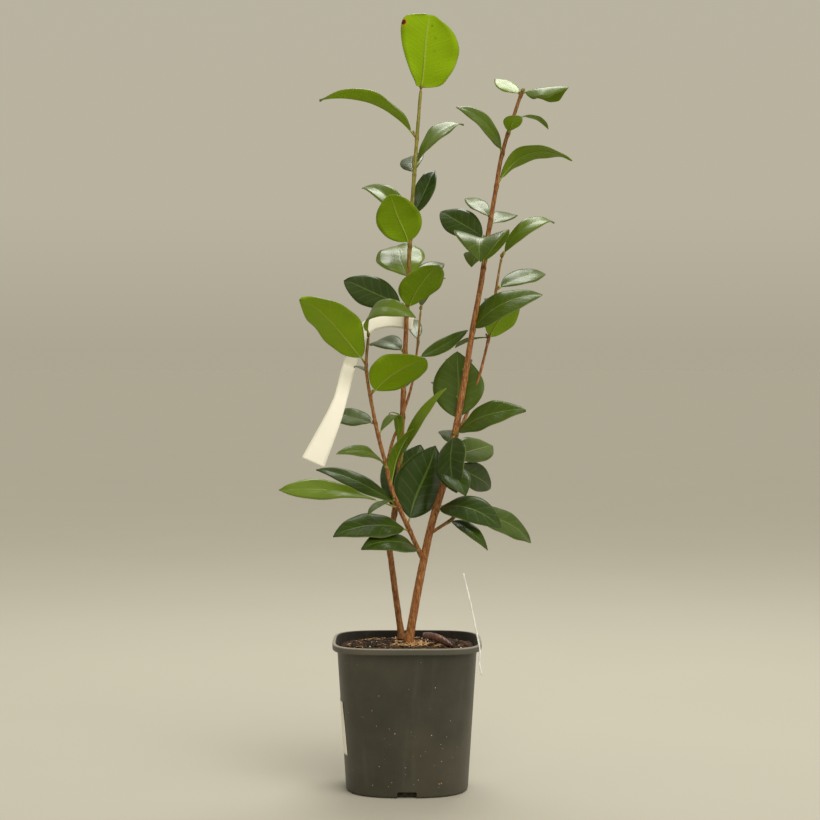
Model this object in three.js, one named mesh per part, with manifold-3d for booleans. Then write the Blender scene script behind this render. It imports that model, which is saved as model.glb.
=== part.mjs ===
// Camellia shrub in its nursery pot. Millimetres, Z up, the front of the plant towards -Y.
// The origin is the centre of the pot's flat underside.
import * as THREE from 'three';
import { mergeVertices } from 'three/addons/utils/BufferGeometryUtils.js';
import Module from 'manifold-3d';

const wasm = await Module();
wasm.setup();

// Clearance between touching pieces
const GAP = 0.3;

// Pot: a rounded square at the rim that grows rounder towards its foot
const POT_HEIGHT = 140;
const POT_BASE_WIDTH = 115;
const POT_TOP_WIDTH = 131;
const RIM_WIDTH = 140;
const RIM_DEPTH = 6;
const RIM_LIP = 3.2;
const POT_WALL = 1.8;
const POT_FLOOR = 3;
const SQUARE_AT_RIM = 4;
const SQUARE_AT_BASE = 2.6;
const POT_SIDES = 44;
const WALL_RINGS = 4;
const DRAIN = { width: 18, depth: 14, height: 6, count: 4 };

// Potting soil, slightly mounded round the stems
const SOIL_TOP = 135.2;
const SOIL_EDGE_DROP = 3;

// Leaves
const LEAF_THICKNESS = 1.2;
const PETIOLE_THICKNESS = 2;
const PETIOLE_SHARE = 0.1;
const LEAF_STATIONS = 8;
const LEAF_FOLD = 12;
const LEAF_PLUMPNESS = 1.25;

// Limbs
const LIMB_SIDES = 6;
const LIMB_STEP = 13;
const ROOT_FLARE = 1.3;
const FLARE_HEIGHT = 7;

// Heights at which the bare limbs end and their foliage starts
const LEFT_STEM_TOP = 246;
const RIGHT_STEM_TOP = 228;
const INNER_BOUGH_TOP = 396;
const SIDE_BOUGH_TOP = 408;
const LOW_BOUGH_TOP = 246;

// The hang tag's wide end narrows to a band over a share of its length
const TAG_END_WIDTH = 23;
const TAG_BAND_WIDTH = 12.5;
const TAG_NARROWING = 0.35;
const TAG_THICKNESS = 0.8;
const TAG_STEPS = 28;

// The thin clear strip that leans on the rim
const CLEAR_WIDTH = 1.6;
const CLEAR_THICKNESS = 0.8;
const CLEAR_STEPS = 16;

// The label on the pot's left side, between two angles round the pot and two heights
const SIDE_LABEL = { from: 148, to: 212, low: 36, high: 86, thickness: 0.4, bends: 10 };

// The dry leaf on the soil
const DRY_LEAF = { wide: 15, arch: 4, fold: 38 };

// Directions that a leaf's upper face looks in
const UP = [0, 0, 1];
const FRONT = [0, -1, 0.3];
const FRONT_UP = [0, -0.65, 0.75];
const LEFT = [-0.8, -0.5, 0.4];
const LEFT_UP = [-0.5, -0.4, 0.8];
const BACK = [0, 0.9, 0.4];
const BACK_UP = [0, 0.35, 0.95];
const BACK_LEFT = [-0.4, 0.7, 0.5];
const BACK_RIGHT = [0.45, 0.7, 0.5];

const vector = (place) => new THREE.Vector3(...place);

// Solids: a closed geometry becomes a solid, and a joined or cut solid a geometry again.
function solidOf(geometry) {
  const bare = geometry.clone();
  bare.deleteAttribute('normal');
  bare.deleteAttribute('uv');
  const merged = mergeVertices(bare, 1e-4);
  return new wasm.Manifold(new wasm.Mesh({
    numProp: 3,
    vertProperties: merged.attributes.position.array,
    triVerts: new Uint32Array(merged.index.array),
  }));
}

function geometryOf(solid) {
  const mesh = solid.getMesh();
  const geometry = new THREE.BufferGeometry();
  geometry.setAttribute('position', new THREE.BufferAttribute(mesh.vertProperties, mesh.numProp));
  geometry.setIndex(new THREE.BufferAttribute(mesh.triVerts, 1));
  geometry.computeVertexNormals();
  return geometry;
}

const joined = (solids) => solids.reduce((whole, next) => whole.add(next));

// Moves every vertex of a geometry to where place(vertex) puts it.
function reshape(geometry, place) {
  const position = geometry.attributes.position;
  const vertex = new THREE.Vector3();
  for (let i = 0; i < position.count; i += 1) {
    vertex.fromBufferAttribute(position, i);
    position.setXYZ(i, ...place(vertex).toArray());
  }
  return geometry;
}

// Pot and soil
function potWidth(height) {
  return THREE.MathUtils.lerp(POT_BASE_WIDTH, POT_TOP_WIDTH, height / (POT_HEIGHT - RIM_DEPTH));
}

// How far the pot's rounded square reaches at an angle, beside its half width.
function stretch(angle, height) {
  const power = THREE.MathUtils.lerp(SQUARE_AT_BASE, SQUARE_AT_RIM, height / POT_HEIGHT);
  return (Math.abs(Math.cos(angle)) ** power + Math.abs(Math.sin(angle)) ** power) ** (-1 / power);
}

// A turned profile of (half width, height) with each ring pressed into a rounded square.
function squared(profile) {
  const turned = new THREE.LatheGeometry(profile.map((at) => new THREE.Vector2(...at)), POT_SIDES);
  return reshape(turned.rotateX(Math.PI / 2), (vertex) => {
    const squareness = stretch(Math.atan2(vertex.y, vertex.x), vertex.z);
    return vertex.set(vertex.x * squareness, vertex.y * squareness, vertex.z);
  });
}

// The profile of the pot's wall between two heights, set in from its outside.
function wall(low, high, inset) {
  return Array.from({ length: WALL_RINGS + 1 }, (_, index) => {
    const height = THREE.MathUtils.lerp(low, high, index / WALL_RINGS);
    return [potWidth(height) / 2 - inset, height];
  });
}

function potSolid() {
  const base = POT_BASE_WIDTH / 2;
  const rim = RIM_WIDTH / 2;
  const underRim = POT_HEIGHT - RIM_DEPTH;
  const shell = solidOf(squared([
    [0, 0],
    [base - 1.5, 0],
    ...wall(1.5, underRim, 0),
    [rim - 0.8, underRim],
    [rim, underRim + 0.8],
    [rim, POT_HEIGHT - 1],
    [rim - 1, POT_HEIGHT],
    [rim - RIM_LIP, POT_HEIGHT],
    ...wall(underRim, POT_FLOOR, POT_WALL),
    [0, POT_FLOOR],
  ]));
  const drains = Array.from({ length: DRAIN.count }, (_, index) => {
    const hole = new THREE.BoxGeometry(DRAIN.width, DRAIN.depth, 2 * DRAIN.height);
    hole.translate(0, -base, 0);
    return solidOf(hole.rotateZ((index * 2 * Math.PI) / DRAIN.count));
  });
  return drains.reduce((pot, hole) => pot.subtract(hole), shell);
}

const soilHeight = (reach) => SOIL_TOP - SOIL_EDGE_DROP * (reach / (POT_TOP_WIDTH / 2)) ** 4;

function soilSolid() {
  const side = wall(POT_FLOOR + GAP, SOIL_TOP - SOIL_EDGE_DROP, POT_WALL + 2 * GAP);
  const edge = side[WALL_RINGS][0];
  const mound = [0.85, 0.65, 0.4].map((share) => [share * edge, soilHeight(share * edge)]);
  return solidOf(squared([[0, POT_FLOOR + GAP], ...side, ...mound, [0, SOIL_TOP]]));
}

// A shoot is a smooth line through a few places, thickest at its foot. It is asked for by height.
class Shoot {
  constructor(footRadius, tipRadius, places) {
    this.line = new THREE.CatmullRomCurve3(places.map(vector), false, 'centripetal');
    this.footRadius = footRadius;
    this.tipRadius = tipRadius;
    this.foot = places[0][2];
    this.tip = places[places.length - 1][2];
  }

  share(height) {
    let low = 0;
    let high = 1;
    for (let turn = 0; turn < 30; turn += 1) {
      const middle = (low + high) / 2;
      if (this.line.getPoint(middle).z < height) low = middle;
      else high = middle;
    }
    return (low + high) / 2;
  }

  place(height) {
    return this.line.getPoint(this.share(height));
  }

  radius(height) {
    return THREE.MathUtils.mapLinear(height, this.foot, this.tip, this.footRadius, this.tipRadius);
  }
}

// A tapering limb along the shoot between two heights, thicker all round by extra.
function limb(shoot, low, high, { extra = 0, rooted = false } = {}) {
  const from = shoot.share(low);
  const to = shoot.share(high);
  const steps = Math.max(1, Math.round((high - low) / LIMB_STEP));
  const rod = new THREE.CylinderGeometry(1, 1, 1, LIMB_SIDES, steps).rotateX(Math.PI / 2);
  return solidOf(reshape(rod, (vertex) => {
    const share = THREE.MathUtils.lerp(from, to, vertex.z + 0.5);
    const centre = shoot.line.getPoint(share);
    const along = shoot.line.getTangent(share);
    const right = new THREE.Vector3(1, 0, 0).addScaledVector(along, -along.x).normalize();
    const back = new THREE.Vector3().crossVectors(along, right);
    const flare = rooted ? 1 + (ROOT_FLARE - 1) * Math.exp(-(centre.z - low) / FLARE_HEIGHT) : 1;
    const radius = shoot.radius(centre.z) * flare + extra;
    centre.addScaledVector(right, radius * vertex.x).addScaledVector(back, radius * vertex.y);
    if (rooted && vertex.z < -0.499) centre.z = low;
    return centre;
  }));
}

// The share of a blade's half width at a share of its length: pointed, widest before its middle.
function outline(share, plump) {
  return Math.max(0.02, Math.sin(Math.PI * share ** 0.9) ** (1 / plump));
}

// A blade on its petiole from start to tip. It arches towards the way that its upper face looks.
function blade(start, tip, form) {
  const { wide, arch = 5, facing = UP, fold = LEAF_FOLD, skew = 0 } = form;
  const { plump = LEAF_PLUMPNESS, petiole = PETIOLE_SHARE } = form;
  const along = tip.clone().sub(start).normalize();
  const upper = vector(facing);
  upper.addScaledVector(along, -upper.dot(along)).normalize();
  const side = new THREE.Vector3().crossVectors(upper, along);
  const bend = start.clone().lerp(tip, 0.5).addScaledVector(upper, 2 * arch);
  const rib = new THREE.QuadraticBezierCurve3(start, bend, tip);
  const lift = THREE.MathUtils.degToRad(fold);
  const slab = new THREE.BoxGeometry(LEAF_STATIONS, 2, 1, LEAF_STATIONS, 2, 1);
  return solidOf(reshape(slab, (vertex) => {
    const station = Math.round(vertex.x + LEAF_STATIONS / 2);
    const open = Math.max(0, (station - 1) / (LEAF_STATIONS - 1));
    const share = station === 0 ? 0 : petiole + (1 - petiole) * open;
    const stalk = (PETIOLE_THICKNESS / 2) * (1 - open);
    const half = Math.max(stalk, station ? (wide / 2) * outline(open, plump) : 0);
    const thick = station < 2 ? PETIOLE_THICKNESS : LEAF_THICKNESS;
    const out = new THREE.Vector3().crossVectors(rib.getTangentAt(share), side);
    const place = rib.getPointAt(share);
    place.addScaledVector(side, half * (1 + skew * vertex.y) * Math.cos(lift) * vertex.y);
    return place.addScaledVector(out, half * Math.sin(lift) * Math.abs(vertex.y) + thick * vertex.z);
  }));
}

// A flat strip along a line, its broad side towards the front, as wide at a share as width says.
function strip(line, steps, thickness, width) {
  const bar = new THREE.BoxGeometry(1, 1, 1, steps, 1, 1);
  return solidOf(reshape(bar, (vertex) => {
    const share = vertex.x + 0.5;
    const along = line.getTangentAt(share);
    const back = new THREE.Vector3(0, 1, 0).addScaledVector(along, -along.y).normalize();
    const across = new THREE.Vector3().crossVectors(back, along);
    const place = line.getPointAt(share);
    place.addScaledVector(across, -width(share) * vertex.z);
    return place.addScaledVector(back, thickness * vertex.y);
  }));
}

// A leaf springs from the shoot at a height, and its tip lies at reach from there.
function leaf(shoot, { at, reach, ...form }) {
  const start = shoot.place(at);
  return blade(start, start.clone().add(vector(reach)), form);
}

// Shoots: two leaders from the soil, and the side shoots that spring from them
const leftLeader = new Shoot(3.1, 1.5, [
  [-5, 30, SOIL_TOP + GAP], [-10, 28, 172], [-15, 27, 210], [-17, 25, 228], [-12, 22, 258],
  [-7, 18, 300], [-4, 12, 360], [-1, 6, 431], [3, 0, 520], [7, -4, 582], [13, -8, 658],
]);
const rightLeader = new Shoot(4.1, 1.6, [
  [1, -2, SOIL_TOP + GAP], [12, 0, 196], [23, 1, 248], [34, 2, 285], [44, 4, 328], [55, 6, 389],
  [62.5, 6, 436], [70, 6, 477], [76, 4, 519], [82, 3, 555], [90, 1, 600], [101, -2, 635], [107.5, -4, 655],
]);
const frontShoot = new Shoot(2.3, 1.3, [
  [16, 0, 213], [3, -5, 242], [-7, -8, 264], [-15, -10, 284], [-20, -12, 306],
  [-27, -15, 333], [-33, -18, 363], [-38, -21, 396], [-36, -23, 426],
]);
const innerShoot = new Shoot(1.4, 1.0, [
  [-19.5, -12, 305], [-13, 5, 329], [-6, 19, 346], [5, 25, 382], [10, 26, 417], [13, 26, 452],
]);
const sideShoot = new Shoot(1.5, 1.0, [
  [46, 4, 331], [58, 13, 356], [65, 17, 376], [77, 22, 422], [85, 24, 473], [90, 26, 502],
]);
const lowShoot = new Shoot(1.7, 1.2, [[22, 1, 240], [32, -3, 247], [41, -4, 253], [47, -4, 258]]);

// The blank hang tag hangs at the left and its band runs up and behind the left leader.
function tagSolid() {
  const line = new THREE.CatmullRomCurve3([
    [-87, -36, 309], [-64, -24, 362], [-54, -4, 400], [-45, -1, 425], [-36, 1, 436],
    [-25, 4, 440], [-13, 8, 441], [5.5, 8.7, 438],
  ].map(vector));
  return strip(line, TAG_STEPS, TAG_THICKNESS, (share) => (
    THREE.MathUtils.lerp(TAG_END_WIDTH, TAG_BAND_WIDTH, Math.min(1, share / TAG_NARROWING))
  ));
}

// The clear strip leans on the rim at the pot's front right corner.
function clearStripSolid() {
  const line = new THREE.CatmullRomCurve3([
    [69, -48.3, 113], [67, -48, 124], [67.2, -47.6, 137], [65.2, -46.8, 148],
    [59, -45, 178], [52, -45, 207],
  ].map(vector));
  return strip(line, CLEAR_STEPS, CLEAR_THICKNESS, () => CLEAR_WIDTH);
}

function sideLabelSolid() {
  const { from, to, low, high, thickness, bends } = SIDE_LABEL;
  const sheet = new THREE.BoxGeometry(1, 1, 1, 1, bends, 2);
  return solidOf(reshape(sheet, (vertex) => {
    const angle = THREE.MathUtils.degToRad(THREE.MathUtils.lerp(from, to, vertex.y + 0.5));
    const height = THREE.MathUtils.lerp(low, high, vertex.z + 0.5);
    const off = GAP + thickness * (vertex.x + 0.5);
    const reach = (potWidth(height) / 2) * stretch(angle, height) + off;
    return vertex.set(reach * Math.cos(angle), reach * Math.sin(angle), height);
  }));
}

function dryLeafSolid() {
  const start = new THREE.Vector3(14, 20, SOIL_TOP + 6);
  const tip = new THREE.Vector3(43, -20, SOIL_TOP + 0.4);
  return blade(start, tip, DRY_LEAF);
}

// Masses of foliage: each is its stretch of shoot with the leaves that spring from it
const MASSES = [
  {
    name: 'left_top_foliage', shoot: leftLeader, low: 562, high: 658, leaves: [
      { at: 656, reach: [7, -8, 69], wide: 56, arch: -3, facing: BACK, fold: 5, plump: 2.2, skew: 0.25 },
      { at: 611, reach: [-90, -26, 33], wide: 32, arch: 15, facing: BACK_UP },
      { at: 582, reach: [47, 26, 46], wide: 24, arch: 10, facing: LEFT_UP },
      { at: 577, reach: [0, 60, 24], wide: 22, facing: FRONT_UP },
    ],
  },
  {
    name: 'left_middle_foliage', shoot: leftLeader, low: 425, high: 562, leaves: [
      { at: 535, reach: [22, 36, 48], wide: 24, facing: FRONT, fold: 25 },
      { at: 510, reach: [-18, -24, 48], wide: 42, arch: 2, facing: BACK, fold: 5, plump: 1.7 },
      { at: 518, reach: [-46, 30, 50], wide: 26, arch: 20, facing: FRONT_UP },
      { at: 523, reach: [-16, 60, 20], wide: 28, arch: 7 },
      { at: 478, reach: [-12, 60, 37], wide: 48, facing: FRONT_UP },
      { at: 452, reach: [-61, 32, 28], wide: 32, arch: 6, facing: FRONT_UP },
      { at: 449, reach: [29, -38, 44], wide: 44, arch: 4, facing: BACK_LEFT },
      { at: 470, reach: [35, 52, 27], wide: 22, facing: FRONT_UP },
    ],
  },
  {
    name: 'left_lower_foliage', shoot: leftLeader, low: LEFT_STEM_TOP, high: 425, leaves: [
      { at: 257, reach: [-4, 44, 54], wide: 24, arch: 3, facing: FRONT },
      { at: 268, reach: [24, 36, 54], wide: 36, arch: 3, facing: FRONT },
      { at: 300, reach: [43, -20, 78], wide: 15, arch: 12, facing: [-0.6, -0.8, 0.2], petiole: 0.2 },
      { at: 349, reach: [-13, -5, 5], wide: 5, arch: 2, facing: UP },
      { at: 372, reach: [-16, 62, 14], wide: 30, arch: 8 },
      { at: 410, reach: [-33, 52, 8], wide: 26, arch: 8, facing: FRONT_UP },
    ],
  },
  {
    name: 'front_lower_foliage', shoot: frontShoot, low: 213, high: 322, parent: rightLeader, leaves: [
      { at: 222, reach: [-54, -44, 8], wide: 30, arch: 11, facing: FRONT_UP },
      { at: 243, reach: [-71, -34, -2], wide: 34, arch: 9, facing: FRONT_UP },
      { at: 248, reach: [27, 24, 74], wide: 50, arch: -3, facing: [0.35, -1, 0.15], fold: 0 },
      { at: 272, reach: [-26, -44, -10], wide: 12, arch: 4, facing: UP },
      { at: 266, reach: [-78, 22, 34], wide: 20, arch: 8, facing: FRONT_UP },
      { at: 264, reach: [-112, -24, 19], wide: 26, arch: 8, facing: FRONT_UP, petiole: 0.22 },
      { at: 284, reach: [21, -2, 56], wide: 26, facing: [-0.75, 0.5, 0.3] },
      { at: 300, reach: [-46, -50, 19], wide: 18, arch: 11, facing: FRONT_UP },
    ],
  },
  {
    name: 'front_upper_foliage', shoot: frontShoot, low: 322, high: 426, leaves: [
      { at: 333, reach: [19, 15, -9], wide: 15, arch: 24, facing: UP },
      { at: 344, reach: [-45, 44, 11], wide: 26, arch: 0, facing: FRONT_UP },
      { at: 371, reach: [51, -30, 36], wide: 50, arch: 4, facing: BACK_LEFT, fold: 18 },
      { at: 392, reach: [-12, 9, 6], wide: 9, arch: 2, facing: UP },
      { at: 399, reach: [-60, -18, 62], wide: 50, arch: 7, facing: BACK_RIGHT, fold: 18 },
      { at: 425, reach: [44, -32, 18], wide: 26, arch: 24, facing: FRONT_UP },
    ],
  },
  {
    name: 'inner_foliage', shoot: innerShoot, low: INNER_BOUGH_TOP, high: 452, leaves: [
      { at: 405, reach: [49, 8, 28], wide: 18, arch: -3, facing: FRONT_UP },
      { at: 420, reach: [-6, 56, 24], wide: 14, arch: 4, facing: UP },
      { at: 451, reach: [24, 30, 32], wide: 24, facing: LEFT },
    ],
  },
  {
    name: 'right_lower_foliage', shoot: rightLeader, low: RIGHT_STEM_TOP, high: 340, leaves: [
      { at: 262, reach: [61, -36, -14], wide: 34, arch: 13, facing: FRONT_UP },
      { at: 304, reach: [15, -54, -25], wide: 26, arch: 5, facing: FRONT_UP },
      { at: 306, reach: [42, 50, -27], wide: 26, arch: 6, facing: FRONT_UP },
      { at: 309, reach: [43, 48, 10], wide: 26, arch: 4, facing: FRONT_UP },
      { at: 322, reach: [-7, 54, 13], wide: 18, facing: FRONT_UP },
      { at: 331, reach: [66, -26, 27], wide: 34, arch: 10, facing: FRONT_UP },
      { at: 334, reach: [1, -38, -53], wide: 36, arch: 8, facing: [-0.6, -0.75, 0.3] },
    ],
  },
  {
    name: 'right_middle_foliage', shoot: rightLeader, low: 340, high: 478, leaves: [
      { at: 343, reach: [1, 18, 69], wide: 50, arch: -4, facing: FRONT },
      { at: 362, reach: [-20, 62, 18], wide: 30, arch: 8 },
      { at: 386, reach: [-6, 60, 16], wide: 26, arch: 7 },
      { at: 432, reach: [67, 12, 34], wide: 28, arch: 8, facing: FRONT_UP, petiole: 0.04 },
    ],
  },
  {
    name: 'right_upper_foliage', shoot: rightLeader, low: 478, high: 602, leaves: [
      { at: 490, reach: [-5, -52, 6], wide: 54, arch: 24, facing: UP },
      { at: 498, reach: [-10, 64, -4], wide: 28, arch: 10 },
      { at: 516, reach: [-44, 38, 30], wide: 30, facing: FRONT_UP },
      { at: 530, reach: [27, 50, 13], wide: 20, arch: 5, facing: FRONT_UP },
      { at: 536, reach: [-22, 50, 23], wide: 18, arch: 5, facing: FRONT_UP },
      { at: 567, reach: [69, -24, 22], wide: 28, arch: 20, facing: BACK_UP },
      { at: 597, reach: [-43, -22, 43], wide: 22, arch: 10, facing: [0.5, -0.7, 0.5] },
    ],
  },
  {
    name: 'right_top_foliage', shoot: rightLeader, low: 602, high: 655, leaves: [
      { at: 616, reach: [8, -34, 14], wide: 18, arch: 3, facing: FRONT },
      { at: 626, reach: [37, 28, -2], wide: 14, arch: 9, facing: FRONT_UP },
      { at: 652, reach: [-23, 32, 19], wide: 17, arch: 1, facing: FRONT_UP },
      { at: 653, reach: [43, -22, 4], wide: 34, arch: 3, facing: UP, fold: -40 },
    ],
  },
  {
    name: 'side_foliage', shoot: sideShoot, low: SIDE_BOUGH_TOP, high: 502, leaves: [
      { at: 421, reach: [30, -6, 42], wide: 38, arch: 4, facing: BACK_LEFT },
      { at: 425, reach: [-31, 44, -9], wide: 14, arch: 3, facing: UP },
      { at: 450, reach: [8, 58, 12], wide: 24, arch: 6 },
      { at: 470, reach: [50, 42, 17], wide: 24, arch: 6, facing: FRONT_UP },
      { at: 500, reach: [53, 26, 37], wide: 18, arch: 18, facing: FRONT_UP },
    ],
  },
  {
    name: 'low_foliage', shoot: lowShoot, low: LOW_BOUGH_TOP, high: 258, leaves: [
      { at: 252, reach: [35, -38, -24], wide: 18, arch: 8, facing: FRONT_UP },
      { at: 254, reach: [8, 62, 8], wide: 28, arch: 6 },
      { at: 257, reach: [73, 30, -28], wide: 34, arch: 12, facing: FRONT_UP },
    ],
  },
];

function massSolid({ shoot, low, high, parent, leaves }) {
  let stem = limb(shoot, low + GAP / 2, high - GAP / 2);
  if (parent) stem = stem.subtract(limb(parent, parent.foot, parent.tip, { extra: GAP }));
  return joined([stem, ...leaves.map((form) => leaf(shoot, form))]);
}

// A bare stem stands on the soil and ends where its foliage starts.
function stemSolid(shoot, high) {
  return limb(shoot, shoot.foot, high - GAP / 2, { rooted: true });
}

// A bare bough starts just clear of the limb that carries it, and ends where its foliage starts.
function boughSolid(shoot, parent, high) {
  const carrier = limb(parent, parent.foot, parent.tip, { extra: GAP });
  return limb(shoot, shoot.foot, high - GAP / 2).subtract(carrier);
}

const LOOKS = {
  pot: { color: 0x3c3d36, roughness: 0.55, metalness: 0 },
  soil: { color: 0x3a2a1e, roughness: 1, metalness: 0 },
  bark: { color: 0x8c5230, roughness: 0.8, metalness: 0 },
  leaf: { color: 0x4f6d1c, roughness: 0.4, metalness: 0 },
  dryLeaf: { color: 0x8a4a32, roughness: 0.7, metalness: 0 },
  label: { color: 0xf2eedd, roughness: 0.5, metalness: 0 },
  clear: { color: 0xe6e6e0, roughness: 0.3, metalness: 0 },
};

function piece(name, solid, look) {
  const mesh = new THREE.Mesh(geometryOf(solid), new THREE.MeshStandardMaterial(LOOKS[look]));
  mesh.name = name;
  return mesh;
}

const shrub = new THREE.Group();
shrub.add(
  piece('pot', potSolid(), 'pot'),
  piece('soil', soilSolid(), 'soil'),
  piece('side_label', sideLabelSolid(), 'label'),
  piece('clear_strip', clearStripSolid(), 'clear'),
  piece('dry_leaf', dryLeafSolid(), 'dryLeaf'),
  piece('hang_tag', tagSolid(), 'label'),
  piece('left_stem', stemSolid(leftLeader, LEFT_STEM_TOP), 'bark'),
  piece('right_stem', stemSolid(rightLeader, RIGHT_STEM_TOP), 'bark'),
  piece('inner_bough', boughSolid(innerShoot, frontShoot, INNER_BOUGH_TOP), 'bark'),
  piece('side_bough', boughSolid(sideShoot, rightLeader, SIDE_BOUGH_TOP), 'bark'),
  piece('low_bough', boughSolid(lowShoot, rightLeader, LOW_BOUGH_TOP), 'bark'),
  ...MASSES.map((mass) => piece(mass.name, massSolid(mass), 'leaf')),
);

export default shrub;
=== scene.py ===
"""Camellia shrub in its nursery pot: fine leaves, bark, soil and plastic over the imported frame.

Places in the tables are in millimetres, as the shrub was measured. Meshes are in metres.
"""

import math
import random

import bmesh
import bpy
from mathutils import Matrix, Vector, noise


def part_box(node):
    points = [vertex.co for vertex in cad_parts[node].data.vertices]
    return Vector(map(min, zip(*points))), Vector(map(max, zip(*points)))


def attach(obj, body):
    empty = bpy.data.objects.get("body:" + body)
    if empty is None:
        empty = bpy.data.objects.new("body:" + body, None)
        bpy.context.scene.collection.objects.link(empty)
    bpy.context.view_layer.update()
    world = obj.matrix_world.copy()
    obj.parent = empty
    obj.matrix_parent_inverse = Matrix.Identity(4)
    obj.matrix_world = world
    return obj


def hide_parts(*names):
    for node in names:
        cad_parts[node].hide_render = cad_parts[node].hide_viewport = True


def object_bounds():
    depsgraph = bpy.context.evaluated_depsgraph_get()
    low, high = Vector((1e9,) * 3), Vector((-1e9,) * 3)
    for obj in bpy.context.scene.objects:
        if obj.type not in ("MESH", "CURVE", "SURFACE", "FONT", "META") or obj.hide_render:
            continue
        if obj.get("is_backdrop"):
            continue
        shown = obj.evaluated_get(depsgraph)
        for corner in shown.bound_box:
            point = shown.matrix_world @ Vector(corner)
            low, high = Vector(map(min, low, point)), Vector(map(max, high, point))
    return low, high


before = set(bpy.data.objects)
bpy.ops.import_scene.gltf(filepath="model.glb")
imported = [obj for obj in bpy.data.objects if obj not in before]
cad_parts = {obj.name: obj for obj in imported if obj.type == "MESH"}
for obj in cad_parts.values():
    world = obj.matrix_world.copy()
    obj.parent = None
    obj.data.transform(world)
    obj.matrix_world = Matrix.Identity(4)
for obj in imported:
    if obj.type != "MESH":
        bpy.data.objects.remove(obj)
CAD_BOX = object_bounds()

bl_info = {
    "name": "Potted camellia",
    "version": (1, 0, 0),
    "blender": (4, 5, 0),
    "location": "3D View > Sidebar > Camellia",
    "description": "Builds a young camellia shrub in its nursery pot",
    "category": "Add Mesh",
}

MM = 0.001
POLE = 1e-7  # Radius of a tube's ends, which the weld closes
TUBE_END = 1e-5  # Share of a tube's length that counts as its end
POT_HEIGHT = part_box("pot")[1][2]

# Where a leaf's upper face looks
UP = (0, 0, 1)
FRONT = (0, -1, 0.3)
FRONT_UP = (0, -0.65, 0.75)
LEFT = (-0.8, -0.5, 0.4)
BACK = (0, 0.9, 0.4)
BACK_UP = (0, 0.35, 0.95)
BACK_LEFT = (-0.4, 0.7, 0.5)
BACK_RIGHT = (0.45, 0.7, 0.5)


# Shader values ----------


def operation(kind):
    """A method that feeds the value, and another one if there is one, to a math node."""

    def method(self, *others):
        return self.nodes.node("ShaderNodeMath", {"operation": kind}, dict(enumerate((self, *others))))

    return method


class Value:
    """A shader output that is worked with like a number."""

    def __init__(self, nodes, socket):
        self.nodes = nodes
        self.socket = socket

    __add__ = __radd__ = operation("ADD")
    __mul__ = __rmul__ = operation("MULTIPLY")
    __sub__ = operation("SUBTRACT")
    __pow__ = operation("POWER")
    __abs__ = operation("ABSOLUTE")
    fraction = operation("FRACT")

    def __rsub__(self, other):
        return self * -1.0 + other

    def between(self, low, high):
        """0 below low, 1 above high, and smooth between them."""
        settings = {"interpolation_type": "SMOOTHSTEP", "clamp": True}
        return self.nodes.node("ShaderNodeMapRange", settings, {0: self, 1: low, 2: high, 3: 0.0, 4: 1.0})


def full_colour(given):
    """A colour that is given as the name of a property, as its amounts, or as a shader value."""
    if isinstance(given, Value):
        return given
    if isinstance(given, str):
        given = getattr(bpy.context.scene.camellia_colours, given)
    return (*given, 1.0)


class Nodes:
    """A node tree that is built node by node."""

    def __init__(self, owner):
        owner.use_nodes = True
        self.tree = owner.node_tree

    def feed(self, node, inputs):
        for key, given in inputs.items():
            if isinstance(given, Value):
                self.tree.links.new(given.socket, node.inputs[key])
            else:
                node.inputs[key].default_value = given

    def node(self, kind, settings=None, inputs=None, output=0):
        """A new node's output. The settings, such as a ramp's stops, are set before the sockets."""
        made = self.tree.nodes.new(kind)
        for key, setting in (settings or {}).items():
            if key == "stops":
                self._stops(made.color_ramp.elements, setting)
            else:
                setattr(made, key, setting)
        self.feed(made, inputs or {})
        return Value(self, made.outputs[output])

    @staticmethod
    def _stops(elements, stops):
        while len(elements) < len(stops):
            elements.new(1.0)
        for element, (place, colour) in zip(elements, stops):
            element.position, element.color = place, full_colour(colour)

    def ramp(self, amount, *stops):
        return self.node("ShaderNodeValToRGB", {"stops": stops}, {0: amount}, "Color")


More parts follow.
